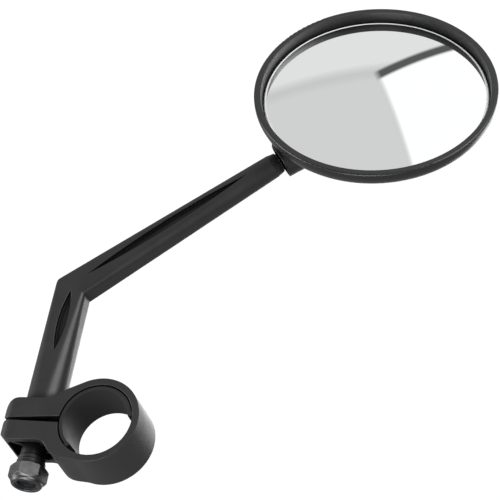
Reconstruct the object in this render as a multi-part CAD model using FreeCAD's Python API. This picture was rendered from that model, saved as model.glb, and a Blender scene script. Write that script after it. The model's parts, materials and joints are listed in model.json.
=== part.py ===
import FreeCAD, Part
import math
import os

from FreeCAD import Vector

# A handlebar mirror for a bicycle, in millimetres.
# The origin is the centre of the handlebar bore, +Y runs along the handlebar and +Z runs up the
# clamp stud towards the arm. The mirror looks towards -Y.

# --- Driving dimensions ---
BAR_RADIUS = 11.1            # 22.2 mm handlebar
CLAMP_WIDTH = 16.5           # length of clamp along the handlebar
RING_INNER = 12.7
RING_OUTER = 15.0
SHIM_THICKNESS = 1.1
STUD_X = -22.55              # clamp stud axis, parallel to Z
STUD_RADIUS = 3.175          # 1/4 inch
RUNNING_GAP = 0.05           # radial clearance of everything that turns
ELBOW_HEIGHT = 53.1          # elbow above the handlebar axis
ELBOW_ANGLE = 52.0           # lean of the upper leg from vertical, degrees
UPPER_LEG = 88.8             # elbow to the centre of the ball
FOOT_RADIUS = 6.4
SHOULDER_DISTANCE = 10.0     # the arm narrows from here to its tip
SHOULDER_RADIUS = 4.0
ELBOW_ROUNDING = 8.0         # radius of the outer corner of the elbow
ELBOW_SHIFT = 0.3            # the elbow is a little fuller on its inner side
ELBOW_EDGE = 1.5             # rounding of the elbow's long edges
GROOVE_DEPTH = 1.3
ELBOW_HALF_WIDTH = 5.7
ELBOW_HALF_DEPTH = 3.5
BALL_RADIUS = 3.9
MIRROR_RADIUS = 41.0         # outside of the shell's rim
MIRROR_YAW = 10.8            # facing direction, degrees from -Y towards +X
MIRROR_PITCH = 12.3          # facing direction, degrees upwards
BALL_DEPTH = 14.6            # ball centre behind the plane of the front lip
BALL_OFFSET = 30.1           # ball centre from the axis of the mirror
GLASS_CURVATURE = 250.0      # convex glass
WALL = 1.8                   # shell wall

# --- Clamp ---
EAR_TOP = 7.8
EAR_BOTTOM = -7.4
UPPER_EAR_END = -32.5
LOWER_EAR_END = -33.2
EAR_CORNER = 4.8
UPPER_SLOT_CORNER = 1.0      # rounding of the ears beside the slot
LOWER_SLOT_CORNER = 2.0
SLOT_OUTER_HALF = 0.45
SLOT_INNER_HALF = 1.15
TOP_TANGENT_ANGLE = 116.0
BOTTOM_TANGENT_ANGLE = -105.0
POCKET_ROOF = -3.2           # the lower ear is hollow from below
TUBE_RADIUS = 4.1            # tube around the stud inside the hollow
TUBE_COLLAR_RADIUS = 4.5
TUBE_COLLAR_HEIGHT = 1.5
TUBE_END = -12.0
SPOT_FACE_RADIUS = 6.7       # flat under the foot washer
SHIM_START_ANGLE = 8.0
SHIM_SWEEP = 224.0

# --- Stack on the stud ---
FOOT_WASHER_THICKNESS = 0.8
THRUST_WASHER_THICKNESS = 1.7
NUT_FLATS = 11.1             # 7/16 inch
NUT_HEIGHT = 6.5
STUD_RECESS = 1.6            # stud end above the bottom of the nut
NUT_ANGLE = 24.0
INSERT_RADIUS = 4.3
FOOT_BOTTOM = EAR_TOP + FOOT_WASHER_THICKNESS
NUT_TOP = TUBE_END - THRUST_WASHER_THICKNESS
NUT_BOTTOM = NUT_TOP - NUT_HEIGHT

# --- Ball joint, radii and distances from the ball centre ---
SEAT_INNER = BALL_RADIUS + RUNNING_GAP
SEAT_OUTER = 4.65
CAVITY_RADIUS = SEAT_OUTER + RUNNING_GAP
NECK_RADIUS = 2.0
BOSS_RADIUS = 6.0
POD_RADIUS = 6.9
POD_END = 6.0                # centre of the rounded end
MOUTH_RADIUS = 5.35
MOUTH_DISTANCE = 6.6
CUP_RADIUS = 5.1             # the mouth is a cup; its floor starts at CUP_DISTANCE
CUP_DISTANCE = 5.0
HOOD_END = -6.6              # end face of the block in front of the housing
LIP_ANGLE = 44.0             # half angle of the hole that holds the seats in
COLLAR_START = 4.8
ARM_TIP_DISTANCE = 7.3
ARM_TIP_RADIUS = 3.5
COLLAR_RADIUS = 3.2
SPIGOT_RADIUS = 1.9
SPIGOT_LENGTH = 13.0
PLUG_RADIUS = 5.25
PLUG_LENGTH = 7.0

# --- Mirror head, depths behind the plane of the front lip ---
LIP_WIDTH = 2.2
RIM_STRAIGHT = 1.15
RIM_CURVE_RADIUS = 6.8
RIM_CURVE_ANGLE = 50.0
GLASS_RADIUS = 37.9
GLASS_EDGE_DEPTH = 3.8
GLASS_THICKNESS = 1.6
SHELF_DEPTH = 6.2
SHELF_INNER = 33.5
PAD_INNER = 34.0
PAD_OUTER = 37.0
SCREW_X = 8.2
SCREW_Z = 5.0
STRAP_FRONT = 9.3
POST_RADIUS = 2.3
STRAP_THICKNESS = 1.5
STRAP_WIDTH = 5.0

X = Vector(1, 0, 0)
Y = Vector(0, 1, 0)
Z = Vector(0, 0, 1)
ORIGIN = Vector(0, 0, 0)


def polar(radius, degrees):
    """Point in the XZ plane."""
    a = math.radians(degrees)
    return Vector(radius * math.cos(a), 0, radius * math.sin(a))


def line(a, b):
    return Part.makeLine(a, b)


def arc(a, middle, b):
    return Part.Arc(a, middle, b).toShape()


def outline(start, *steps):
    """Closed wire. A step is the end point of a line, or the (middle, end) points of an arc."""
    edges = []
    here = start
    for step in steps:
        if isinstance(step, tuple):
            middle, end = step
            edges.append(arc(here, middle, end))
        else:
            end = step
            edges.append(line(here, end))
        here = end
    if here.distanceToPoint(start) > 0.001:
        edges.append(line(here, start))
    return Part.Wire(edges)


def revolved(wire, base, axis):
    """Full turn of a closed outline around an axis in its plane."""
    solid = Part.Face(wire).revolve(base, axis, 360)
    if solid.Volume < 0:
        solid.reverse()
    return solid


def tube(outer, inner, height, base, axis=Z):
    body = Part.makeCylinder(outer, height, base, axis)
    return body.cut(Part.makeCylinder(inner, height, base, axis))


# --- Directions of the arm and of the head ---
LEAN = math.radians(ELBOW_ANGLE)
LEG = Vector(math.sin(LEAN), 0, math.cos(LEAN))
ELBOW = Vector(STUD_X, 0, ELBOW_HEIGHT)
BALL_CENTRE = ELBOW + LEG * UPPER_LEG


def facing_direction():
    yaw = math.radians(MIRROR_YAW)
    pitch = math.radians(MIRROR_PITCH)
    return Vector(math.sin(yaw) * math.cos(pitch), -math.cos(yaw) * math.cos(pitch), math.sin(pitch))


def head_placement():
    """Places the head: its own origin is the ball centre, -Y its facing direction, and +Z points
    from the ball to the middle of the mirror, in line with the upper leg."""
    facing = facing_direction()
    up = (LEG - facing * LEG.dot(facing)).normalize()
    side = up.cross(facing)
    back = facing * -1
    return FreeCAD.Placement(FreeCAD.Matrix(
        side.x, back.x, up.x, BALL_CENTRE.x,
        side.y, back.y, up.y, BALL_CENTRE.y,
        side.z, back.z, up.z, BALL_CENTRE.z,
        0, 0, 0, 1))


HEAD = head_placement()
LEG_IN_HEAD = HEAD.Rotation.inverted().multVec(LEG)      # has no X component
DISC_CENTRE = Vector(0, -BALL_DEPTH, BALL_OFFSET)        # of the lip plane, in the head's frame


def in_place(shape):
    """Moves a shape made in the head's frame to its place on the arm."""
    placed = shape.copy()
    placed.transformShape(HEAD.toMatrix())
    return placed


def disc_point(radius, depth):
    return DISC_CENTRE + Vector(0, depth, -radius)


# --- Clamp ---
def clamp_outline():
    ring_top = polar(RING_OUTER, TOP_TANGENT_ANGLE)
    ring_bottom = polar(RING_OUTER, BOTTOM_TANGENT_ANGLE)
    slot_x = -math.sqrt(RING_INNER ** 2 - SLOT_INNER_HALF ** 2)
    upper_slot = Vector(slot_x, 0, SLOT_INNER_HALF)
    lower_slot = Vector(slot_x, 0, -SLOT_INNER_HALF)
    diagonal = EAR_CORNER * (1 - math.sqrt(0.5))
    upper_cut = UPPER_SLOT_CORNER * (1 - math.sqrt(0.5))
    lower_cut = LOWER_SLOT_CORNER * (1 - math.sqrt(0.5))
    upper_end = Vector(UPPER_EAR_END + UPPER_SLOT_CORNER, 0, SLOT_OUTER_HALF)
    upper_small = Vector(UPPER_EAR_END + upper_cut, 0, SLOT_OUTER_HALF + upper_cut)
    upper_side = Vector(UPPER_EAR_END, 0, SLOT_OUTER_HALF + UPPER_SLOT_CORNER)
    lower_end = Vector(LOWER_EAR_END + LOWER_SLOT_CORNER, 0, -SLOT_OUTER_HALF)
    lower_small = Vector(LOWER_EAR_END + lower_cut, 0, -SLOT_OUTER_HALF - lower_cut)
    lower_side = Vector(LOWER_EAR_END, 0, -SLOT_OUTER_HALF - LOWER_SLOT_CORNER)
    top_side = Vector(UPPER_EAR_END, 0, EAR_TOP - EAR_CORNER)
    top_corner = Vector(UPPER_EAR_END + diagonal, 0, EAR_TOP - diagonal)
    top_flat = Vector(UPPER_EAR_END + EAR_CORNER, 0, EAR_TOP)
    top_rise = Vector(-20.0, 0, EAR_TOP)
    bottom_side = Vector(LOWER_EAR_END, 0, EAR_BOTTOM + EAR_CORNER)
    bottom_corner = Vector(LOWER_EAR_END + diagonal, 0, EAR_BOTTOM + diagonal)
    bottom_flat = Vector(LOWER_EAR_END + EAR_CORNER, 0, EAR_BOTTOM)
    bottom_fall = Vector(-19.5, 0, EAR_BOTTOM)
    fairing = Part.BSplineCurve()
    fairing.interpolate(
        Points=[ring_bottom, Vector(-11.4, 0, -13.1), Vector(-14.8, 0, -10.2), bottom_fall],
        InitialTangent=Vector(-math.cos(math.radians(15)), 0, math.sin(math.radians(15))),
        FinalTangent=Vector(-1, 0, 0))
    rise = Part.BSplineCurve()
    rise.interpolate(
        Points=[top_rise, Vector(-13.6, 0, 10.1), ring_top],
        InitialTangent=X,
        FinalTangent=Vector(math.sin(math.radians(TOP_TANGENT_ANGLE)), 0,
                            -math.cos(math.radians(TOP_TANGENT_ANGLE))))
    return Part.Wire([
        line(upper_slot, upper_end),
        arc(upper_end, upper_small, upper_side),
        line(upper_side, top_side),
        arc(top_side, top_corner, top_flat),
        line(top_flat, top_rise),
        rise.toShape(),
        arc(ring_top, polar(RING_OUTER, 0), ring_bottom),
        fairing.toShape(),
        line(bottom_fall, bottom_flat),
        arc(bottom_flat, bottom_corner, bottom_side),
        line(bottom_side, lower_side),
        arc(lower_side, lower_small, lower_end),
        line(lower_end, lower_slot),
        arc(lower_slot, polar(RING_INNER, 0), upper_slot)])


def clamp_plan(margin=4.0):
    """Block that rounds the ear ends as seen from above."""
    half = CLAMP_WIDTH / 2
    length = RING_OUTER - LOWER_EAR_END + margin
    block = Part.makeBox(length, CLAMP_WIDTH, 60, Vector(LOWER_EAR_END, -half, -30))
    corners = [e for e in block.Edges
               if abs(e.Vertexes[0].X - LOWER_EAR_END) < 0.01
               and abs(e.Vertexes[0].X - e.Vertexes[1].X) < 0.01
               and abs(e.Vertexes[0].Y - e.Vertexes[1].Y) < 0.01]
    return block.makeFillet(4.0, corners)


def ear_hollow():
    """Pocket in the underside of the lower ear, with the tube and ribs left standing."""
    width = 12.4
    start = -30.4
    length = 13.6
    below = 12.0
    pocket = Part.makeBox(length, width, below, Vector(start, -width / 2, POCKET_ROOF - below))
    uprights = [e for e in pocket.Edges if abs(e.Vertexes[0].Z - e.Vertexes[1].Z) > 1]
    pocket = pocket.makeFillet(3.0, uprights)
    post = Part.makeCylinder(TUBE_RADIUS, below, Vector(STUD_X, 0, POCKET_ROOF - below))
    ribs = []
    rib_height = 3.4
    for angle in (35, 145, 215, 325):
        rib = Part.makeBox(10, 1.1, rib_height, Vector(0, -0.55, POCKET_ROOF - rib_height))
        rib.rotate(ORIGIN, Z, angle)
        rib.translate(Vector(STUD_X, 0, 0))
        ribs.append(rib)
    return pocket.cut(post.fuse(ribs))


def clamp_ring():
    outline = clamp_outline()
    outline.translate(Vector(0, -CLAMP_WIDTH / 2, 0))
    body = Part.Face(outline).extrude(Vector(0, CLAMP_WIDTH, 0))
    body = body.common(clamp_plan())
    body = body.cut(ear_hollow())
    collar_top = TUBE_END + TUBE_COLLAR_HEIGHT
    body = body.fuse(around_stud([
        (0, TUBE_END), (TUBE_COLLAR_RADIUS - 0.3, TUBE_END), (TUBE_COLLAR_RADIUS, TUBE_END + 0.3),
        (TUBE_COLLAR_RADIUS, collar_top), (TUBE_RADIUS, collar_top + 0.3),
        (TUBE_RADIUS, POCKET_ROOF + 1.0), (0, POCKET_ROOF + 1.0)]))
    hole_radius = STUD_RADIUS + RUNNING_GAP
    body = body.cut(Part.makeCylinder(hole_radius, 40, Vector(STUD_X, 0, -20)))
    body = body.cut(Part.makeCylinder(SPOT_FACE_RADIUS, 10, Vector(STUD_X, 0, EAR_TOP)))
    return body.removeSplitter()


def liner(inner, outer, start, sweep):
    """Part of a ring around the handlebar; angles run from +X towards +Z."""
    half = CLAMP_WIDTH / 2 - 0.2
    points = [Vector(inner, -half, 0), Vector(outer, -half, 0),
              Vector(outer, half, 0), Vector(inner, half, 0)]
    face = Part.Face(Part.makePolygon(points + [points[0]]))
    piece = face.revolve(ORIGIN, Y * -1, sweep)
    piece.rotate(ORIGIN, Y * -1, start)
    return piece


def handlebar_shim():
    """Open liner that brings the ring down to the handlebar, with a small rib at each end."""
    rib_outer = RING_INNER - RUNNING_GAP
    rib_sweep = 7.0
    last_rib = SHIM_START_ANGLE + SHIM_SWEEP - rib_sweep
    body = liner(BAR_RADIUS, BAR_RADIUS + SHIM_THICKNESS, SHIM_START_ANGLE, SHIM_SWEEP)
    for start in (SHIM_START_ANGLE, last_rib):
        body = body.fuse(liner(BAR_RADIUS, rib_outer, start, rib_sweep))
    return body.removeSplitter()


# --- Stud, washers and nut ---
def stud_point(radius, height):
    return Vector(STUD_X + radius, 0, height)


def around_stud(profile):
    return revolved(outline(*[stud_point(r, z) for r, z in profile]), Vector(STUD_X, 0, 0), Z)


def clamp_stud():
    """Threaded stud with a knurled head that is moulded into the foot of the arm."""
    end = NUT_BOTTOM + STUD_RECESS
    head_start = FOOT_BOTTOM + 1.2
    head_end = 20.0
    head_radius = 4.2
    body = around_stud([
        (0, end), (STUD_RADIUS - 0.7, end), (STUD_RADIUS, end + 0.7),
        (STUD_RADIUS, head_start), (head_radius, head_start),
        (head_radius, head_end - 0.6), (head_radius - 0.6, head_end), (0, head_end)])
    for step in range(10):
        angle = math.radians(36 * step)
        centre = Vector(STUD_X + head_radius * math.cos(angle), head_radius * math.sin(angle), head_start)
        body = body.cut(Part.makeCylinder(0.45, head_end - head_start, centre))
    return body


def foot_washer():
    return tube(6.4, STUD_RADIUS + RUNNING_GAP, FOOT_WASHER_THICKNESS, Vector(STUD_X, 0, EAR_TOP))


def thrust_washer():
    return tube(4.8, STUD_RADIUS + RUNNING_GAP, THRUST_WASHER_THICKNESS, Vector(STUD_X, 0, NUT_TOP))


def hexagon_prism(flats, height, base):
    corner = flats / 2 / math.cos(math.radians(30))
    points = [base + Vector(corner * math.cos(math.radians(60 * i)),
                            corner * math.sin(math.radians(60 * i)), 0) for i in range(7)]
    return Part.Face(Part.makePolygon(points)).extrude(Vector(0, 0, height))


def lock_nut():
    hex_bottom = NUT_TOP - 4.9
    collar = 5.25
    mouth = 3.75
    corner = NUT_FLATS / 2 / math.cos(math.radians(30)) + 0.1
    bore = STUD_RADIUS + RUNNING_GAP
    insert_bottom = NUT_BOTTOM + 0.6
    insert_top = insert_bottom + 1.7
    envelope = around_stud([
        (bore, NUT_TOP), (5.2, NUT_TOP), (corner, NUT_TOP - 0.7), (corner, hex_bottom + 0.7),
        (collar + 0.2, hex_bottom - 0.1), (collar, hex_bottom - 0.4),
        (collar, NUT_BOTTOM + 0.7), (collar - 0.35, NUT_BOTTOM + 0.15), (collar - 0.9, NUT_BOTTOM),
        (mouth, NUT_BOTTOM + 0.25), (mouth, insert_bottom - 0.1),
        (INSERT_RADIUS, insert_bottom), (INSERT_RADIUS, insert_top), (bore, insert_top)])
    prism = hexagon_prism(NUT_FLATS, NUT_HEIGHT, Vector(STUD_X, 0, NUT_BOTTOM))
    prism.rotate(Vector(STUD_X, 0, 0), Z, NUT_ANGLE)
    return envelope.common(prism)


def lock_nut_insert():
    base = Vector(STUD_X, 0, NUT_BOTTOM + 0.65)
    return tube(INSERT_RADIUS, STUD_RADIUS + 0.03, 1.6, base)


# --- Arm ---
def rounded_rectangle(centre, axis_a, axis_b, a, b, corner):
    """Closed outline with half widths a and b along two axes; a circle when corner reaches both."""
    flat_a = a - corner
    flat_b = b - corner
    diagonal = corner * math.sqrt(0.5)
    edges = []
    ends = []
    for sign_a, sign_b in ((1, 1), (-1, 1), (-1, -1), (1, -1)):
        hub = centre + axis_a * (sign_a * flat_a) + axis_b * (sign_b * flat_b)
        along_a = hub + axis_a * (sign_a * corner)
        along_b = hub + axis_b * (sign_b * corner)
        middle = hub + axis_a * (sign_a * diagonal) + axis_b * (sign_b * diagonal)
        if sign_a * sign_b > 0:
            start, end = along_a, along_b
        else:
            start, end = along_b, along_a
        ends.append((start, middle, end))
    for i in range(4):
        start, middle, end = ends[i]
        edges.append(arc(start, middle, end))
        edges.append(line(end, ends[(i + 1) % 4][0]))
    return Part.Wire(edges)


def leg_section(distance):
    """Point on the upper leg at a distance from the ball, and the leg's sideways direction."""
    return BALL_CENTRE - LEG * distance, Vector(LEG.z, 0, -LEG.x)


def elbow_section():
    half = math.radians(ELBOW_ANGLE / 2)
    mitre = Vector(math.cos(half), 0, -math.sin(half))
    centre = ELBOW + mitre * ELBOW_SHIFT
    return rounded_rectangle(
        centre, mitre, Y, ELBOW_HALF_WIDTH / math.cos(half), ELBOW_HALF_DEPTH, ELBOW_EDGE)


def grooved(leg, first, last, half_width):
    """Cuts a long leaf-shaped groove into the front and the back of a leg. The two points are the ends
    of the floor of the front groove."""
    for side in (1, -1):
        start = Vector(first.x, first.y * side, first.z)
        end = Vector(last.x, last.y * side, last.z)
        along = (end - start).normalize()
        outwards = (Y * -side - along * (along.y * -side)).normalize()
        across = along.cross(outwards) * half_width
        middle = (start + end) * 0.5
        leaf = outline(start, (middle + across, end), (middle - across, start))
        leg = leg.cut(Part.Face(leaf).extrude(outwards * 6.0))
    return leg


def lower_leg():
    leg = Part.makeLoft([
        rounded_rectangle(Vector(STUD_X, 0, FOOT_BOTTOM), X, Y, FOOT_RADIUS, FOOT_RADIUS, FOOT_RADIUS - 0.1),
        elbow_section()], True, True)
    last = Vector(STUD_X + 1.0, GROOVE_DEPTH - 3.6, ELBOW_HEIGHT - 2.0)
    first = Vector(STUD_X + 1.0, GROOVE_DEPTH - 5.0, last.z - 24.0)
    return grooved(leg, first, last, 1.7)


def upper_leg():
    tip, side = leg_section(ARM_TIP_DISTANCE)
    shoulder = leg_section(SHOULDER_DISTANCE)[0]
    leg = Part.makeLoft([
        elbow_section(),
        rounded_rectangle(shoulder, side, Y, SHOULDER_RADIUS, SHOULDER_RADIUS, SHOULDER_RADIUS - 0.1),
        rounded_rectangle(tip, side, Y, ARM_TIP_RADIUS, ARM_TIP_RADIUS, ARM_TIP_RADIUS - 0.1)], True, True)
    first = ELBOW + LEG * 7.0 - Y * (ELBOW_HALF_DEPTH - GROOVE_DEPTH)
    last = ELBOW + LEG * 70.0 - Y * (SHOULDER_RADIUS - GROOVE_DEPTH)
    return grooved(leg, first, last, 1.7)


def elbow_rounding():
    """Sliver outside an arc that rounds the outer corner of the elbow."""
    half = math.radians(ELBOW_ANGLE / 2)
    mitre = Vector(math.cos(half), 0, -math.sin(half))
    corner = ELBOW + mitre * (ELBOW_SHIFT - ELBOW_HALF_WIDTH / math.cos(half))
    shoulder, side = leg_section(SHOULDER_DISTANCE)
    down = (Vector(STUD_X - FOOT_RADIUS, 0, FOOT_BOTTOM) - corner).normalize()
    up = (shoulder - side * SHOULDER_RADIUS - corner).normalize()
    turn = (math.pi - down.getAngle(up)) / 2
    reach = ELBOW_ROUNDING * math.tan(turn)
    sag = ELBOW_ROUNDING * (1 / math.cos(turn) - 1)
    first = corner + down * reach
    last = corner + up * reach
    middle = corner + (down + up).normalize() * sag
    beyond = corner - (down + up).normalize() * 3.0
    wire = outline(first, (middle, last), beyond)
    wire.translate(Y * -10)
    return Part.Face(wire).extrude(Y * 20)


def arm():
    body = lower_leg().fuse(upper_leg()).cut(elbow_rounding())
    body = body.cut(clamp_stud())
    return body.cut(ball_stud()).Solids[0]


def joint_point(radius, distance):
    """Point in the head's frame, given by its radius about the boss axis and its distance from the
    ball centre along that axis; the mirror lies at positive distances and the arm at negative ones."""
    across = LEG_IN_HEAD.cross(X).normalize()
    return LEG_IN_HEAD * distance + across * radius


def joint_polar(radius, degrees):
    """Point on a sphere around the ball centre; the angle counts from the arm side."""
    a = math.radians(degrees)
    return joint_point(radius * math.sin(a), -radius * math.cos(a))


def around_joint(wire):
    return revolved(wire, ORIGIN, LEG_IN_HEAD)


def ball_stud():
    """Steel ball, neck and conical collar on a spigot that is pressed into the arm."""
    neck_angle = math.degrees(math.asin(NECK_RADIUS / BALL_RADIUS))
    spigot_end = ARM_TIP_DISTANCE + SPIGOT_LENGTH
    body = around_joint(outline(
        joint_polar(BALL_RADIUS, 180),
        (joint_polar(BALL_RADIUS, 100), joint_polar(BALL_RADIUS, neck_angle)),
        joint_point(NECK_RADIUS, -COLLAR_START),
        joint_point(COLLAR_RADIUS, -ARM_TIP_DISTANCE),
        joint_point(SPIGOT_RADIUS, -ARM_TIP_DISTANCE),
        joint_point(SPIGOT_RADIUS, -spigot_end),
        joint_point(0, -spigot_end)))
    return in_place(body)


# --- Ball seats, made in the head's frame ---
def seat_band(first_angle, last_angle):
    """Spherical liner between two angles from the arm side of the boss axis."""
    middle = (first_angle + last_angle) / 2
    return around_joint(outline(
        joint_polar(SEAT_INNER, first_angle),
        joint_polar(SEAT_OUTER, first_angle),
        (joint_polar(SEAT_OUTER, middle), joint_polar(SEAT_OUTER, last_angle)),
        joint_polar(SEAT_INNER, last_angle),
        (joint_polar(SEAT_INNER, middle), joint_polar(SEAT_INNER, first_angle))))


def outer_seat():
    return in_place(seat_band(62, 82))


def inner_seat():
    return in_place(seat_band(96, 180))


# --- Mirror head, made in the head's frame ---
def rim_curve_end():
    angle = math.radians(RIM_CURVE_ANGLE)
    radius = MIRROR_RADIUS - RIM_CURVE_RADIUS * (1 - math.cos(angle))
    depth = RIM_STRAIGHT + RIM_CURVE_RADIUS * math.sin(angle)
    return radius, depth


RIM_END_RADIUS, RIM_END_DEPTH = rim_curve_end()
DOME_RADIUS = RIM_END_RADIUS / math.sin(math.radians(90 - RIM_CURVE_ANGLE))
DOME_DEPTH = RIM_END_DEPTH + DOME_RADIUS * (1 - math.cos(math.radians(90 - RIM_CURVE_ANGLE)))


def dome_depth(radius, wall=0.0):
    """Depth of the domed back at a radius, on its outside or one wall inside it."""
    return DOME_DEPTH - DOME_RADIUS + math.sqrt((DOME_RADIUS - wall) ** 2 - radius ** 2)


def glass_depth(radius, behind_front=0.0):
    centre = GLASS_EDGE_DEPTH + math.sqrt(GLASS_CURVATURE ** 2 - GLASS_RADIUS ** 2)
    return centre - math.sqrt((GLASS_CURVATURE - behind_front) ** 2 - radius ** 2)


def disc_solid(edges):
    """Turns a closed outline around the axis of the mirror."""
    return revolved(Part.Wire(edges), DISC_CENTRE, Y)


def shell_outside():
    half = math.radians(RIM_CURVE_ANGLE / 2)
    edge_round = 0.5
    rim_middle = disc_point(MIRROR_RADIUS - RIM_CURVE_RADIUS * (1 - math.cos(half)),
                            RIM_STRAIGHT + RIM_CURVE_RADIUS * math.sin(half))
    rim_end = disc_point(RIM_END_RADIUS, RIM_END_DEPTH)
    dome_middle = disc_point(RIM_END_RADIUS / 2, dome_depth(RIM_END_RADIUS / 2))
    lip = disc_point(MIRROR_RADIUS - edge_round, 0)
    lip_middle = disc_point(MIRROR_RADIUS - edge_round * 0.29, edge_round * 0.29)
    lip_side = disc_point(MIRROR_RADIUS, edge_round)
    straight_end = disc_point(MIRROR_RADIUS, RIM_STRAIGHT)
    top = disc_point(0, 0)
    back = disc_point(0, DOME_DEPTH)
    return disc_solid([
        line(top, lip), arc(lip, lip_middle, lip_side), line(lip_side, straight_end),
        arc(straight_end, rim_middle, rim_end), arc(rim_end, dome_middle, back), line(back, top)])


def shell_inside():
    lip_radius = MIRROR_RADIUS - LIP_WIDTH
    wall_radius = GLASS_RADIUS + 0.15
    shelf_radius = 37.4
    mouth = disc_point(lip_radius, 0)
    wall_top = disc_point(wall_radius + 0.3, 2.6)
    wall_low = disc_point(wall_radius, GLASS_EDGE_DEPTH + GLASS_THICKNESS)
    shelf = disc_point(shelf_radius, SHELF_DEPTH)
    shelf_edge = disc_point(SHELF_INNER, SHELF_DEPTH)
    inner = disc_point(SHELF_INNER, dome_depth(SHELF_INNER, WALL))
    inner_middle = disc_point(SHELF_INNER / 2, dome_depth(SHELF_INNER / 2, WALL))
    back = disc_point(0, DOME_DEPTH - WALL)
    top = disc_point(0, 0)
    return disc_solid([
        line(top, mouth), line(mouth, wall_top), line(wall_top, wall_low), line(wall_low, shelf),
        line(shelf, shelf_edge), line(shelf_edge, inner), arc(inner, inner_middle, back),
        line(back, top)])


def pod():
    """Round-ended housing of the ball joint on the back of the shell."""
    tail = POD_END + POD_RADIUS
    diagonal = POD_RADIUS * math.sqrt(0.5)
    return around_joint(outline(
        joint_point(0, -MOUTH_DISTANCE),
        joint_point(BOSS_RADIUS, -MOUTH_DISTANCE),
        joint_point(POD_RADIUS, POD_END),
        (joint_point(diagonal, POD_END + diagonal), joint_point(0, tail))))


def hood():
    """Flat-sided block that joins the front of the housing to the rim."""
    half = BOSS_RADIUS + 0.3
    front = -BALL_DEPTH + 5.0
    top = 6.0
    return Part.makeBox(2 * half, -front, top - HOOD_END, Vector(-half, front, HOOD_END))


def joint_cavity():
    """Spherical seat, flared mouth and the bore that the socket plug fills."""
    bore = PLUG_RADIUS + RUNNING_GAP
    beyond = 15.0
    return around_joint(outline(
        joint_point(0, -MOUTH_DISTANCE - 4),
        joint_point(MOUTH_RADIUS + 0.4, -MOUTH_DISTANCE - 4),
        joint_point(MOUTH_RADIUS, -MOUTH_DISTANCE),
        joint_point(CUP_RADIUS, -CUP_DISTANCE),
        joint_polar(CAVITY_RADIUS, LIP_ANGLE),
        (joint_polar(CAVITY_RADIUS, (LIP_ANGLE + 90) / 2), joint_polar(CAVITY_RADIUS, 90)),
        joint_point(bore, 0),
        joint_point(bore, beyond),
        joint_point(0, beyond)))


def screw_places():
    return [Vector(side * SCREW_X, -BALL_DEPTH, SCREW_Z) for side in (-1, 1)]


def screw_bosses():
    """Two posts that carry the strap of the socket cap, ending inside the wall of the dome."""
    start = STRAP_FRONT + STRAP_THICKNESS
    posts = []
    for place in screw_places():
        radius = math.hypot(place.x, BALL_OFFSET - place.z)
        length = dome_depth(radius + POST_RADIUS) - 0.4 - start
        posts.append(Part.makeCylinder(POST_RADIUS, length, place + Y * start, Y))
    return posts


def mirror_shell():
    body = shell_outside().fuse([pod(), hood()])
    body = body.cut(shell_inside())
    body = body.fuse(screw_bosses())
    body = body.cut(joint_cavity())
    for place in screw_places():
        pilot = Part.makeCylinder(1.12, 3.0, place + Y * (STRAP_FRONT + STRAP_THICKNESS), Y)
        body = body.cut(pilot)
    return body.removeSplitter()


def socket_cap():
    """Plug that closes the ball socket, held by a strap with two screws."""
    plug = around_joint(outline(
        joint_polar(CAVITY_RADIUS, 180),
        (joint_polar(CAVITY_RADIUS, 135), joint_polar(CAVITY_RADIUS, 90)),
        joint_point(PLUG_RADIUS, 0),
        joint_point(PLUG_RADIUS, PLUG_LENGTH),
        joint_point(0, PLUG_LENGTH)))
    half = STRAP_WIDTH / 2
    left, right = [place + Y * STRAP_FRONT for place in screw_places()]
    end = X * half
    up = Z * half
    strap = Part.Face(outline(
        left - up, right - up, (right + end, right + up), left + up, (left - end, left - up)))
    strap = strap.extrude(Y * STRAP_THICKNESS)
    for place in (left, right):
        strap = strap.cut(Part.makeCylinder(1.3, STRAP_THICKNESS, place, Y))
    inside = Part.makeCylinder(PLUG_RADIUS, PLUG_LENGTH, ORIGIN, LEG_IN_HEAD)
    return plug.fuse(strap.cut(inside)).removeSplitter()


def socket_screw(place):
    head_height = 1.3
    head_radius = 2.0
    head_start = place + Vector(0, STRAP_FRONT - head_height, 0)
    head = Part.makeCylinder(head_radius, head_height, head_start, Y)
    head = head.makeFillet(0.5, [e for e in head.Edges if abs(e.CenterOfMass.y - head_start.y) < 0.01])
    shank = Part.makeCylinder(1.1, 4.2, place + Vector(0, STRAP_FRONT, 0), Y)
    slot_a = Part.makeBox(2.4, 0.7, 0.5, head_start + Vector(-1.2, 0, -0.25))
    slot_b = Part.makeBox(0.5, 0.7, 2.4, head_start + Vector(-0.25, 0, -1.2))
    return head.fuse(shank).cut(slot_a.fuse(slot_b)).removeSplitter()


def socket_screws():
    return Part.makeCompound([socket_screw(place) for place in screw_places()])


def mirror_glass():
    half = GLASS_RADIUS / 2
    edge_round = 0.35
    front_edge = disc_point(GLASS_RADIUS - edge_round, glass_depth(GLASS_RADIUS - edge_round))
    bevel = disc_point(GLASS_RADIUS, GLASS_EDGE_DEPTH + edge_round)
    back_edge = disc_point(GLASS_RADIUS, glass_depth(GLASS_RADIUS, GLASS_THICKNESS))
    return disc_solid([
        arc(disc_point(0, glass_depth(0)), disc_point(half, glass_depth(half)), front_edge),
        line(front_edge, bevel), line(bevel, back_edge),
        arc(back_edge, disc_point(half, glass_depth(half, GLASS_THICKNESS)),
            disc_point(0, glass_depth(0, GLASS_THICKNESS))),
        line(disc_point(0, glass_depth(0, GLASS_THICKNESS)), disc_point(0, glass_depth(0)))])


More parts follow.
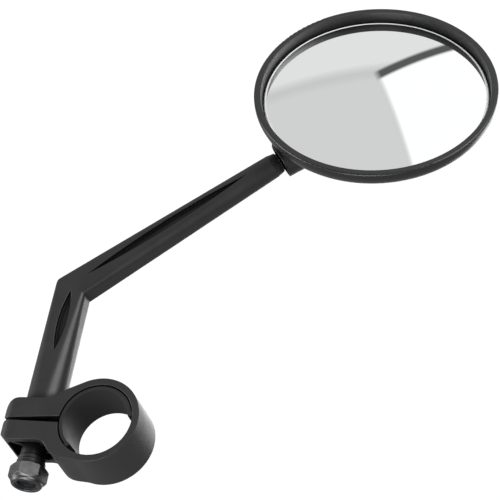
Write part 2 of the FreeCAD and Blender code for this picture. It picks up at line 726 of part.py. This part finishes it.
def glass_pad():
    """Foam ring that glues the glass to the shelf."""
    middle = (PAD_INNER + PAD_OUTER) / 2
    inner_front = disc_point(PAD_INNER, glass_depth(PAD_INNER, GLASS_THICKNESS))
    outer_front = disc_point(PAD_OUTER, glass_depth(PAD_OUTER, GLASS_THICKNESS))
    return disc_solid([
        arc(inner_front, disc_point(middle, glass_depth(middle, GLASS_THICKNESS)), outer_front),
        line(outer_front, disc_point(PAD_OUTER, SHELF_DEPTH)),
        line(disc_point(PAD_OUTER, SHELF_DEPTH), disc_point(PAD_INNER, SHELF_DEPTH)),
        line(disc_point(PAD_INNER, SHELF_DEPTH), inner_front)])


NODES = {
    "clamp_ring": clamp_ring,
    "handlebar_shim": handlebar_shim,
    "clamp_stud": clamp_stud,
    "foot_washer": foot_washer,
    "thrust_washer": thrust_washer,
    "lock_nut": lock_nut,
    "lock_nut_insert": lock_nut_insert,
    "arm": arm,
    "ball_stud": ball_stud,
    "outer_seat": outer_seat,
    "inner_seat": inner_seat,
    "mirror_shell": lambda: in_place(mirror_shell()),
    "socket_cap": lambda: in_place(socket_cap()),
    "socket_screws": lambda: in_place(socket_screws()),
    "mirror_glass": lambda: in_place(mirror_glass()),
    "glass_pad": lambda: in_place(glass_pad()),
}

os.makedirs("parts", exist_ok=True)
for name, build in NODES.items():
    build().exportStep("parts/" + name + ".step")
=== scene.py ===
import json
import math

import bpy
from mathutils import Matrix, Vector


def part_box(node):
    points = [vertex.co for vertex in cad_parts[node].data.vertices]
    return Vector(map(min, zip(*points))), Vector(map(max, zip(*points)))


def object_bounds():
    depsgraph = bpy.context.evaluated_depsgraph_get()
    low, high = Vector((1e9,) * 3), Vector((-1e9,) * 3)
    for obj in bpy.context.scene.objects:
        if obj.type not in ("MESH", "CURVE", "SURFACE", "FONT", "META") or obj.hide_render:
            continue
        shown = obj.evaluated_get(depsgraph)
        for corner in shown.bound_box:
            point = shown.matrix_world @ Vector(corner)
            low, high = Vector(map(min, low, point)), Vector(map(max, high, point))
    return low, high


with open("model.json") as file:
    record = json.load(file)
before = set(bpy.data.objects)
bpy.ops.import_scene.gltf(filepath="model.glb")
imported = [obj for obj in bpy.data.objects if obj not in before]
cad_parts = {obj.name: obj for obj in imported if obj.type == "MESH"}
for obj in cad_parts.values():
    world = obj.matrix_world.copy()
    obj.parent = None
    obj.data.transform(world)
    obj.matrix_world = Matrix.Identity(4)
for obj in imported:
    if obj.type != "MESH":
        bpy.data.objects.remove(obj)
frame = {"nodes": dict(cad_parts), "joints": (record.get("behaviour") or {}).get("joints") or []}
CAD_LOW, CAD_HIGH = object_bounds()

MM = 0.001

# --- Camera, in front of the mirror and below it ---
CAMERA_AZIMUTH = 22.93
CAMERA_ELEVATION = -30.11
CAMERA_ROLL = 11.51
CAMERA_DISTANCE = 0.864
CAMERA_LENS = 188.5
SENSOR = 36.0
AIM = Vector((37.6 * MM, 0.0, 68.6 * MM))

# --- The clamp stud ---
JOINTS = {joint["name"]: joint for joint in frame["joints"]}
STUD = Vector(JOINTS["arm_swivel"]["pos_m"])
THREAD_PITCH = 1.27 * MM

# --- The mirror head: where it faces, its dome, and the part of the room that it reflects ---
HEAD_YAW = math.radians(10.8)
HEAD_PITCH = math.radians(12.3)
FACING = Vector((math.sin(HEAD_YAW) * math.cos(HEAD_PITCH),
                 -math.cos(HEAD_YAW) * math.cos(HEAD_PITCH), math.sin(HEAD_PITCH)))
REFLECTED = Vector((-0.07, -0.585, 0.81))
PANEL_EDGE = Vector((0.88, 0.39, 0.264))
PANEL_HEAD = Vector((0.871, -0.448, -0.2))
CEILING_SEAM = Vector((0.43, -0.817, -0.386))
GLASS_CURVATURE = 250 * MM
GROUND_EDGE = 1.0 * MM
GROUND_BLUR = 0.1 * MM


# --- Node helpers ---
NOISE_LOW = 0.3
NOISE_HIGH = 0.7
EDGE_SAMPLES = 6
CREVICE_SAMPLES = 8


def new_material(name):
    material = bpy.data.materials.new(name)
    material.use_nodes = True
    nodes = material.node_tree.nodes
    nodes.clear()
    output = nodes.new("ShaderNodeOutputMaterial")
    shader = nodes.new("ShaderNodeBsdfPrincipled")
    material.node_tree.links.new(shader.outputs["BSDF"], output.inputs["Surface"])
    return material, shader


def add(material, kind, **inputs):
    """A shader node; inputs are numbers, colours or the output sockets of other nodes."""
    node = material.node_tree.nodes.new(kind)
    for key, value in inputs.items():
        put(material, node, key.replace("_", " "), value)
    return node


def put(material, node, key, value):
    socket = node.inputs[int(key)] if key.isdigit() else node.inputs[key]
    if isinstance(value, bpy.types.NodeSocket):
        material.node_tree.links.new(value, socket)
    else:
        socket.default_value = value


def maths(material, operation, a, b):
    node = material.node_tree.nodes.new("ShaderNodeMath")
    node.operation = operation
    put(material, node, "0", a)
    put(material, node, "1", b)
    return node.outputs[0]


def vector_maths(material, operation, a, b=(0.0, 0.0, 0.0)):
    node = material.node_tree.nodes.new("ShaderNodeVectorMath")
    node.operation = operation
    put(material, node, "0", a)
    put(material, node, "1", b)
    return node


def ramp(material, value, low, high, start=0.0, end=1.0):
    """Maps value from start..end to low..high and clamps it."""
    node = material.node_tree.nodes.new("ShaderNodeMapRange")
    for key, number in (("Value", value), ("From Min", start), ("From Max", end),
                        ("To Min", low), ("To Max", high)):
        put(material, node, key, number)
    return node.outputs["Result"]


def vary(material, pattern, low, high):
    """Maps the usual range of a noise pattern to low..high."""
    return ramp(material, pattern, low, high, NOISE_LOW, NOISE_HIGH)


def mix_colour(material, factor, a, b):
    node = material.node_tree.nodes.new("ShaderNodeMix")
    node.data_type = "RGBA"
    put(material, node, "0", factor)
    put(material, node, "6", a)
    put(material, node, "7", b)
    return node.outputs[2]


def position(material):
    """Shading position in the part's frame at rest, so that a pattern moves with its piece."""
    return add(material, "ShaderNodeTexCoord").outputs["Object"]


def noise(material, scale, detail=4.0, roughness=0.55, vector=None):
    node = add(material, "ShaderNodeTexNoise", Scale=scale, Detail=detail, Roughness=roughness,
               Vector=vector or position(material))
    return node.outputs["Fac"]


def rounded_normal(material, radius):
    """Shading normal with every edge rounded by a radius."""
    node = add(material, "ShaderNodeBevel", Radius=radius)
    node.samples = EDGE_SAMPLES
    return node.outputs["Normal"]


def edge_mask(material, radius):
    """1 on convex and concave edges, 0 on flat faces."""
    rounded = rounded_normal(material, radius)
    own = add(material, "ShaderNodeNewGeometry").outputs["Normal"]
    dot = vector_maths(material, "DOT_PRODUCT", rounded, own)
    return ramp(material, dot.outputs["Value"], 1.0, 0.0, 0.86, 0.995)


def crevice_shade(material, reach, darkest):
    """Painted shade: 1 on open faces, falling to a dark value in grooves and gaps."""
    node = material.node_tree.nodes.new("ShaderNodeAmbientOcclusion")
    node.samples = CREVICE_SAMPLES
    put(material, node, "Distance", reach)
    return ramp(material, node.outputs["AO"], darkest, 1.0, 0.72, 0.96)


def bump(material, height, distance, strength=1.0, rounding=0.0):
    """Normal of a raised pattern, on top of edges that may be rounded by a small radius."""
    node = add(material, "ShaderNodeBump", Height=height, Distance=distance, Strength=strength)
    if rounding:
        put(material, node, "Normal", rounded_normal(material, rounding))
    return node.outputs["Normal"]


# --- Sizes of the surface detail, in cells per metre ---
MOULD_GRAIN = 5200.0
MOULD_MOTTLE = 90.0
PLATING_MOTTLE = 420.0
THREAD_MOTTLE = 500.0
MACHINING_MARKS = (900.0, 900.0, 9000.0)
POLYMER_FLOW = 260.0
POLYMER_GRAIN = 3800.0
FOAM_CELLS = 2600.0
MIRROR_SMUDGE = 38.0
MIRROR_DUST = 2600.0


# --- Materials ---
# Brightening of plastic edges: a painted highlight.
EDGE_HIGHLIGHT = 1.5
STEEL_EDGE = 0.25 * MM
POLYMER_EDGE = 0.15 * MM


def grey(value, warm=0.0):
    return (value * (1 + warm), value, value * (1 - warm), 1.0)


def moulded_plastic(name, tone, roughness, grain, rounding, gloss=0.5):
    """Injection moulded plastic: eroded grain, uneven sheen, edges painted paler as a highlight, painted
    shade in grooves and gaps.
    """
    material, shader = new_material(name)
    fine = noise(material, MOULD_GRAIN, 3.0)
    broad = noise(material, MOULD_MOTTLE, 3.0)
    edges = edge_mask(material, rounding)
    body = mix_colour(material, vary(material, broad, 0.0, 1.0),
                      grey(tone * 0.9), grey(tone * 1.12))
    # Edges painted paler: a painted highlight.
    colour = mix_colour(material, maths(material, "MULTIPLY", edges, 0.55), body, grey(tone * EDGE_HIGHLIGHT))
    # Painted shade: colour darkened in grooves and gaps.
    unshaded_face = crevice_shade(material, 4.0 * MM, 0.3)
    put(material, shader, "Base Color", mix_colour(material, unshaded_face, grey(tone * 0.15), colour))
    sheen = vary(material, broad, roughness - 0.05, roughness + 0.06)
    speckle = maths(material, "MULTIPLY", fine, 0.06)
    put(material, shader, "Roughness", maths(material, "ADD", sheen, speckle))
    # Painted shade: less gloss in grooves and gaps.
    put(material, shader, "Specular IOR Level", maths(material, "MULTIPLY", unshaded_face, gloss))
    put(material, shader, "Normal", bump(material, fine, grain, 0.6, rounding))
    return material


def zinc_steel(name, tone, roughness, scratches=0.5):
    """Plated steel: faint mottling, fine machining marks, edges painted brighter as a highlight."""
    material, shader = new_material(name)
    mottled = noise(material, PLATING_MOTTLE, 5.0, 0.65)
    stretched = add(material, "ShaderNodeMapping", Vector=position(material), Scale=MACHINING_MARKS)
    lines = noise(material, 1.0, 3.0, 0.6, stretched.outputs["Vector"])
    edges = edge_mask(material, STEEL_EDGE)
    body = mix_colour(material, ramp(material, mottled, 0.0, 1.0, 0.35, 0.65),
                      grey(tone * 0.8, 0.01), grey(tone * 1.12, -0.01))
    # Edges painted brighter: a painted highlight.
    put(material, shader, "Base Color",
        mix_colour(material, maths(material, "MULTIPLY", edges, 0.6), body, grey(min(tone * 1.5, 0.85))))
    put(material, shader, "Metallic", 1.0)
    put(material, shader, "Roughness",
        maths(material, "ADD", vary(material, mottled, roughness - 0.06, roughness + 0.08),
              maths(material, "MULTIPLY", lines, 0.08)))
    put(material, shader, "Normal", bump(material, lines, 0.01 * MM, scratches, STEEL_EDGE))
    return material


def threaded_steel(name, tone, roughness):
    """Plated rod with a rolled thread: a helical ridge with one turn per pitch, its valleys painted darker
    as shade.
    """
    material, shader = new_material(name)
    centred = add(material, "ShaderNodeMapping",
                  Vector=position(material), Location=(-STUD.x, -STUD.y, 0.0))
    parts = add(material, "ShaderNodeSeparateXYZ", Vector=centred.outputs["Vector"])
    turn = maths(material, "ARCTAN2", parts.outputs["Y"], parts.outputs["X"])
    turns = maths(material, "DIVIDE", turn, 2 * math.pi)
    height = maths(material, "DIVIDE", parts.outputs["Z"], THREAD_PITCH)
    ridge = maths(material, "PINGPONG", maths(material, "SUBTRACT", height, turns), 0.5)
    mottled = noise(material, THREAD_MOTTLE, 4.0)
    # Thread valleys painted darker: painted shade.
    put(material, shader, "Base Color",
        mix_colour(material, ramp(material, ridge, 0.0, 1.0, 0.05, 0.3), grey(tone * 0.35), grey(tone)))
    put(material, shader, "Metallic", 1.0)
    put(material, shader, "Roughness", vary(material, mottled, roughness - 0.08, roughness + 0.1))
    put(material, shader, "Normal", bump(material, ridge, 0.6 * MM))
    return material


def pale_polymer(name, colour, roughness):
    """Nylon or acetal: slightly translucent, with faint flow marks."""
    material, shader = new_material(name)
    flow = noise(material, POLYMER_FLOW, 4.0)
    fine = noise(material, POLYMER_GRAIN, 2.0)
    dark = tuple(channel * 0.86 for channel in colour[:3]) + (1.0,)
    put(material, shader, "Base Color",
        mix_colour(material, vary(material, flow, 0.0, 1.0), dark, colour))
    put(material, shader, "Roughness", vary(material, flow, roughness - 0.06, roughness + 0.08))
    put(material, shader, "Subsurface Weight", 0.15)
    put(material, shader, "Subsurface Scale", 0.4 * MM)
    put(material, shader, "Normal", bump(material, fine, 0.01 * MM, 0.5, POLYMER_EDGE))
    return material


def foam(name):
    """Closed-cell foam tape, with the pits of its cells painted darker as shade."""
    material, shader = new_material(name)
    cells = material.node_tree.nodes.new("ShaderNodeTexVoronoi")
    put(material, cells, "Vector", position(material))
    put(material, cells, "Scale", FOAM_CELLS)
    depth = cells.outputs["Distance"]
    # Cell pits painted darker: painted shade.
    put(material, shader, "Base Color",
        mix_colour(material, ramp(material, depth, 0.0, 1.0, 0.0, 0.6), grey(0.02), grey(0.07)))
    put(material, shader, "Roughness", ramp(material, depth, 0.7, 0.95, 0.0, 0.6))
    put(material, shader, "Normal", bump(material, depth, 0.1 * MM))
    return material


def dome_normal(material, centre):
    """True normal of the domed front, and the mesh's own normal on the edge and the back."""
    dome_centre = centre - FACING * GLASS_CURVATURE
    spread = vector_maths(material, "SUBTRACT", position(material), dome_centre).outputs["Vector"]
    smooth = vector_maths(material, "NORMALIZE", spread).outputs["Vector"]
    own = add(material, "ShaderNodeNewGeometry").outputs["Normal"]
    facing = vector_maths(material, "DOT_PRODUCT", own, FACING).outputs["Value"]
    chosen = material.node_tree.nodes.new("ShaderNodeMix")
    chosen.data_type = "VECTOR"
    put(material, chosen, "0", maths(material, "GREATER_THAN", facing, 0.9))
    put(material, chosen, "4", own)
    put(material, chosen, "5", smooth)
    return chosen.outputs[1]


def convex_mirror(name):
    """Silvered glass with a matt, pale ground edge and the faintest smudges."""
    material, shader = new_material(name)
    smudge = noise(material, MIRROR_SMUDGE, 5.0, 0.6)
    dust = noise(material, MIRROR_DUST, 2.0)
    low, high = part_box("mirror_glass")
    centre = (Vector(low) + Vector(high)) * 0.5
    # The box of a tilted disc is narrower than the disc.
    radius = (high[0] - low[0]) * 0.5 / math.sqrt(1 - FACING.x ** 2)
    outwards = vector_maths(material, "SUBTRACT", position(material), centre).outputs["Vector"]
    around = vector_maths(material, "CROSS_PRODUCT", outwards, FACING).outputs["Vector"]
    distance = vector_maths(material, "LENGTH", around).outputs["Value"]
    rim = radius - GROUND_EDGE
    edge = ramp(material, distance, 0.0, 1.0, rim - GROUND_BLUR, rim + GROUND_BLUR)
    put(material, shader, "Base Color",
        mix_colour(material, edge, (0.95, 0.955, 0.96, 1.0), (0.92, 0.94, 0.93, 1.0)))
    put(material, shader, "Metallic", ramp(material, edge, 1.0, 0.0))
    haze = ramp(material, smudge, 0.008, 0.022, 0.35, 0.7)
    specks = ramp(material, dust, 0.0, 0.02, 0.68, 0.78)
    ground = maths(material, "MULTIPLY", edge, 0.45)
    sharp = maths(material, "ADD", maths(material, "ADD", haze, specks), ground)
    direct = add(material, "ShaderNodeLightPath").outputs["Is Camera Ray"]
    put(material, shader, "Roughness", ramp(material, direct, 0.5, sharp))
    ripple = bump(material, smudge, 0.001 * MM, 0.2)
    put(material, shader, "Normal", ripple)
    put(material, ripple.node, "Normal", dome_normal(material, centre))
    return material


def dress_nodes():
    """Gives every CAD node its finish."""
    # Plastic: tone, roughness, depth of the grain, radius of the edges. Steel: tone, roughness.
    finishes = {
        "clamp_ring": moulded_plastic("clamp_black", 0.009, 0.42, 0.03 * MM, 0.45 * MM),
        "handlebar_shim": moulded_plastic("shim_black", 0.010, 0.55, 0.03 * MM, 0.2 * MM, gloss=0.3),
        "foot_washer": moulded_plastic("washer_grey", 0.03, 0.5, 0.02 * MM, 0.15 * MM),
        "thrust_washer": moulded_plastic("washer_black", 0.012, 0.45, 0.02 * MM, 0.2 * MM),
        "arm": moulded_plastic("arm_black", 0.010, 0.34, 0.02 * MM, 0.5 * MM),
        "mirror_shell": moulded_plastic("shell_black", 0.008, 0.30, 0.012 * MM, 0.4 * MM),
        "socket_cap": moulded_plastic("cap_black", 0.018, 0.45, 0.03 * MM, 0.3 * MM),
        "lock_nut": zinc_steel("nut_zinc", 0.10, 0.28),
        "socket_screws": zinc_steel("screw_zinc", 0.45, 0.3),
        "clamp_stud": threaded_steel("stud_thread", 0.16, 0.35),
        "ball_stud": zinc_steel("ball_polished", 0.5, 0.14, scratches=0.2),
        "lock_nut_insert": pale_polymer("insert_nylon", (0.022, 0.023, 0.028, 1.0), 0.4),
        "outer_seat": pale_polymer("seat_acetal_outer", (0.72, 0.72, 0.69, 1.0), 0.35),
        "inner_seat": pale_polymer("seat_acetal_inner", (0.74, 0.73, 0.7, 1.0), 0.35),
        "mirror_glass": convex_mirror("mirror_silver"),
        "glass_pad": foam("foam_black"),
    }
    for node, material in finishes.items():
        piece = frame["nodes"][node]
        piece.data.materials.clear()
        piece.data.materials.append(material)


# --- Studio ---
FLOOR_SIZE = 3.0
FLOOR_FADE_START = 0.3
FLOOR_FADE_END = 0.75
FLOOR_GAP = 0.2 * MM
FLOOR_TONE = 0.86
CEILING_LOW = 0.66
CEILING_HIGH = 0.78
CEILING_SHADE = 0.50
SEAM_STRENGTH = 0.6
FRAME_BAR = 0.10
WHITE = 1.05
SOFT_GREY = (0.40, 0.40, 0.41, 1.0)


def look_along(obj, direction):
    obj.rotation_euler = direction.to_track_quat("-Z", "Y").to_euler()


def soft_light(name, towards, distance, size, power):
    """Square soft box that shines at the object from a direction."""
    data = bpy.data.lights.new(name, "AREA")
    data.shape = "SQUARE"
    data.size = size
    data.energy = power
    light = bpy.data.objects.new(name, data)
    bpy.context.scene.collection.objects.link(light)
    light.location = AIM + towards.normalized() * distance
    look_along(light, -towards)
    light.visible_camera = False


def studio_world():
    """White to the camera, softer grey as a light source, and a pale ceiling with a white panel in the
    part of the room that the mirror shows."""
    world = bpy.data.worlds.new("studio")
    world.use_nodes = True
    bpy.context.scene.world = world
    tree = world.node_tree
    tree.nodes.clear()
    output = tree.nodes.new("ShaderNodeOutputWorld")
    path = tree.nodes.new("ShaderNodeLightPath")
    direction = tree.nodes.new("ShaderNodeTexCoord").outputs["Generated"]

    def towards(axis, start, end):
        dot = vector_maths(world, "DOT_PRODUCT", direction, axis)
        return ramp(world, dot.outputs["Value"], 0.0, 1.0, start, end)

    above = towards(CEILING_SEAM, 0.01, -0.04)
    below = towards(CEILING_SEAM, -0.01, 0.04)
    seam = maths(world, "SUBTRACT", 1.0, maths(world, "MAXIMUM", above, below))
    ceiling = mix_colour(world, above, grey(CEILING_LOW), grey(CEILING_HIGH))
    ceiling = mix_colour(world, maths(world, "MULTIPLY", seam, SEAM_STRENGTH), ceiling, grey(CEILING_SHADE))
    beside = towards(PANEL_EDGE, -0.008, 0.008)
    frame_bar = maths(world, "MULTIPLY", beside, towards(PANEL_HEAD, -0.035, -0.025))
    panel = maths(world, "MULTIPLY", beside, towards(PANEL_HEAD, -0.006, 0.004))
    shown = mix_colour(world, frame_bar, ceiling, grey(FRAME_BAR))
    shown = mix_colour(world, panel, shown, grey(WHITE))
    near = maths(world, "MULTIPLY", towards(REFLECTED, 0.84, 0.90), path.outputs["Is Glossy Ray"])
    light = mix_colour(world, near, SOFT_GREY, shown)
    seen = mix_colour(world, path.outputs["Is Camera Ray"], light, grey(WHITE))
    background = add(world, "ShaderNodeBackground", Color=seen, Strength=1.0)
    tree.links.new(background.outputs[0], output.inputs["Surface"])


def stage_material(name, colour):
    """Seen from above only, and fading to the white room; light passes through it, so the underside of
    the object stays lit."""
    material = bpy.data.materials.new(name)
    material.use_nodes = True
    tree = material.node_tree
    tree.nodes.clear()
    output = tree.nodes.new("ShaderNodeOutputMaterial")
    surface = add(material, "ShaderNodeBsdfDiffuse", Color=colour)
    clear = tree.nodes.new("ShaderNodeBsdfTransparent")
    path = tree.nodes.new("ShaderNodeLightPath")
    geometry = tree.nodes.new("ShaderNodeNewGeometry")
    front = maths(material, "SUBTRACT", 1.0, geometry.outputs["Backfacing"])
    spread = vector_maths(material, "LENGTH", position(material)).outputs["Value"]
    fade = ramp(material, spread, 1.0, 0.0, FLOOR_FADE_START, FLOOR_FADE_END)
    faded = maths(material, "MULTIPLY", front, fade)
    shown = maths(material, "MULTIPLY", faded, path.outputs["Is Camera Ray"])
    mixed = tree.nodes.new("ShaderNodeMixShader")
    put(material, mixed, "0", shown)
    put(material, mixed, "1", clear.outputs[0])
    put(material, mixed, "2", surface.outputs[0])
    tree.links.new(mixed.outputs[0], output.inputs["Surface"])
    return material


def pale_floor():
    height = CAD_LOW[2] - FLOOR_GAP
    bpy.ops.mesh.primitive_plane_add(size=FLOOR_SIZE, location=(AIM.x, AIM.y, height))
    floor = bpy.context.object
    floor.name = "floor"
    floor.data.materials.append(stage_material("floor_pale", grey(FLOOR_TONE)))


def camera():
    azimuth = math.radians(CAMERA_AZIMUTH)
    elevation = math.radians(CAMERA_ELEVATION)
    roll = math.radians(CAMERA_ROLL)
    back = Vector((math.sin(azimuth) * math.cos(elevation),
                   -math.cos(azimuth) * math.cos(elevation), math.sin(elevation)))
    level = Vector((math.cos(azimuth), math.sin(azimuth), 0.0))
    upright = back.cross(level)
    right = level * math.cos(roll) + upright * math.sin(roll)
    up = upright * math.cos(roll) - level * math.sin(roll)
    data = bpy.data.cameras.new("camera")
    data.lens = CAMERA_LENS
    data.sensor_width = SENSOR
    data.clip_start = 0.01
    obj = bpy.data.objects.new("camera", data)
    bpy.context.scene.collection.objects.link(obj)
    matrix = obj.matrix_world.to_3x3()
    for row in range(3):
        matrix[row][0], matrix[row][1], matrix[row][2] = right[row], up[row], back[row]
    obj.matrix_world = matrix.to_4x4()
    obj.location = AIM + back * CAMERA_DISTANCE
    bpy.context.scene.camera = obj


dress_nodes()
studio_world()
pale_floor()
soft_light("key", Vector((0.65, -0.65, 0.45)), distance=1.2, size=0.9, power=12.0)
soft_light("under", Vector((-0.1, -0.5, -1.0)), distance=1.1, size=0.8, power=15.0)
soft_light("fill", Vector((-1.0, -0.3, -0.1)), distance=1.0, size=0.6, power=7.0)
soft_light("back", Vector((0.1, 1.0, 0.8)), distance=1.2, size=1.0, power=9.0)
camera()

bpy.context.scene.view_settings.view_transform = "Standard"
